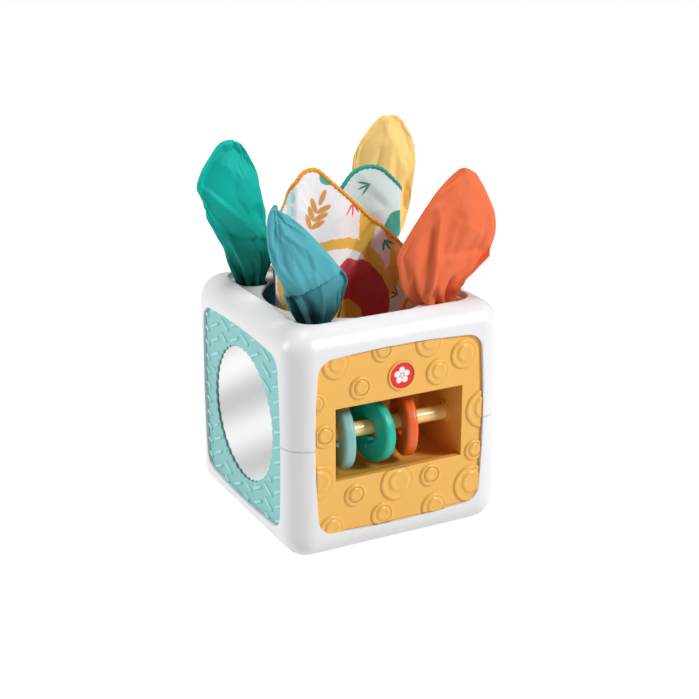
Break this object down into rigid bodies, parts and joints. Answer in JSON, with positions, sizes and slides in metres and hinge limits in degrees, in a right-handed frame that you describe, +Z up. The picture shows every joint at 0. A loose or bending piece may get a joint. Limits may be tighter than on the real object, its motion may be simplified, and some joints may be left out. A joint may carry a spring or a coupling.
{
  "type": "baby activity cube",
  "caption": "Cube-shaped baby toy with a mirror, rings on an axle, a roller ball, a spinner, and cloths that pull out of its open top.",
  "frame": {"origin": "centre of the cube's flat bottom face", "axes": "+Z up, -Y out of the side with the rings, -X out of the side with the mirror"},
  "size_m": [0.1318, 0.125, 0.1999],
  "materials": {
    "shell_white": "satin moulded plastic, white",
    "teal_plastic": "matte moulded plastic with raised dashes, light teal",
    "mirror_face": "baby-safe mirror sheet",
    "amber_plastic": "satin moulded plastic, warm yellow",
    "badge_red": "printed red disc with a plain white flower",
    "ring_blue": "satin moulded plastic, light blue",
    "ring_green": "satin moulded plastic, green",
    "ring_orange": "satin moulded plastic, orange",
    "petrol_plastic": "matte moulded plastic, petrol blue",
    "coral_plastic": "matte moulded plastic, coral",
    "ball_amber": "glossy ball with moulded swirls",
    "spinner_yellow": "satin moulded plastic, yellow",
    "screw_steel": "zinc-plated screw steel",
    "cloth_green": "thin satin-weave polyester, teal green",
    "cloth_petrol": "thin satin-weave polyester, petrol blue",
    "cloth_coral": "thin woven polyester, coral",
    "cloth_yellow": "thin satin-weave polyester, soft yellow",
    "cloth_print_white": "white printed crinkle sheet with mustard piping",
    "cloth_print_teal": "pale teal printed crinkle sheet with green piping"
  },
  "bodies": {
    "cube": {"upper_shell": "shell_white", "lower_shell": "shell_white", "shell_screws": "screw_steel", "mirror_panel": "teal_plastic", "mirror": "mirror_face", "mirror_backplate": "shell_white", "mirror_screws": "screw_steel", "ring_panel": "amber_plastic", "ring_tub": "amber_plastic", "tub_screws": "screw_steel", "ring_axle": "amber_plastic", "axle_cap": "screw_steel", "badge": "badge_red", "roller_panel": "petrol_plastic", "roller_cup": "shell_white", "cup_screws": "screw_steel", "roller_pin": "screw_steel", "spinner_panel": "coral_plastic"},
    "blue_ring": {"ring_blue": "ring_blue"},
    "green_ring": {"ring_green": "ring_green"},
    "orange_ring": {"ring_orange": "ring_orange"},
    "ball": {"roller_ball": "ball_amber"},
    "spinner_wheel": {"spinner": "spinner_yellow", "spinner_washer": "screw_steel", "spinner_screw": "screw_steel"},
    "green_cloth": {"tissue_green": "cloth_green"},
    "petrol_cloth": {"tissue_petrol": "cloth_petrol"},
    "coral_cloth": {"tissue_coral": "cloth_coral"},
    "yellow_cloth": {"tissue_yellow": "cloth_yellow"},
    "white_sheet": {"crinkle_white": "cloth_print_white"},
    "teal_sheet": {"crinkle_teal": "cloth_print_teal"}
  },
  "joints": [
    {"name": "blue_ring_slide", "type": "slide", "parent": "cube", "child": "blue_ring", "axis": [1, 0, 0], "range_m": [-0.0043, 0.0026]},
    {"name": "green_ring_slide", "type": "slide", "parent": "cube", "child": "green_ring", "axis": [1, 0, 0], "range_m": [-0.0026, 0.0026]},
    {"name": "orange_ring_slide", "type": "slide", "parent": "cube", "child": "orange_ring", "axis": [1, 0, 0], "range_m": [-0.0026, 0.0168]},
    {"name": "ball_roll", "type": "hinge", "parent": "cube", "child": "ball", "pos_m": [0, 0.0415, 0.0625], "axis": [1, 0, 0], "continuous": true},
    {"name": "spinner_spin", "type": "hinge", "parent": "cube", "child": "spinner_wheel", "pos_m": [0.0583, 0, 0.0625], "axis": [1, 0, 0], "continuous": true},
    {"name": "green_cloth_pull", "type": "slide", "parent": "cube", "child": "green_cloth", "axis": [0, 0, 1], "range_m": [0, 0.06]},
    {"name": "petrol_cloth_pull", "type": "slide", "parent": "cube", "child": "petrol_cloth", "axis": [0, 0, 1], "range_m": [0, 0.06]},
    {"name": "coral_cloth_pull", "type": "slide", "parent": "cube", "child": "coral_cloth", "axis": [0, 0, 1], "range_m": [0, 0.06]},
    {"name": "yellow_cloth_pull", "type": "slide", "parent": "cube", "child": "yellow_cloth", "axis": [0, 0, 1], "range_m": [0, 0.06]},
    {"name": "white_sheet_pull", "type": "slide", "parent": "cube", "child": "white_sheet", "axis": [0, 0, 1], "range_m": [0, 0.06]},
    {"name": "teal_sheet_pull", "type": "slide", "parent": "cube", "child": "teal_sheet", "axis": [0, 0, 1], "range_m": [0, 0.06]}
  ]
}
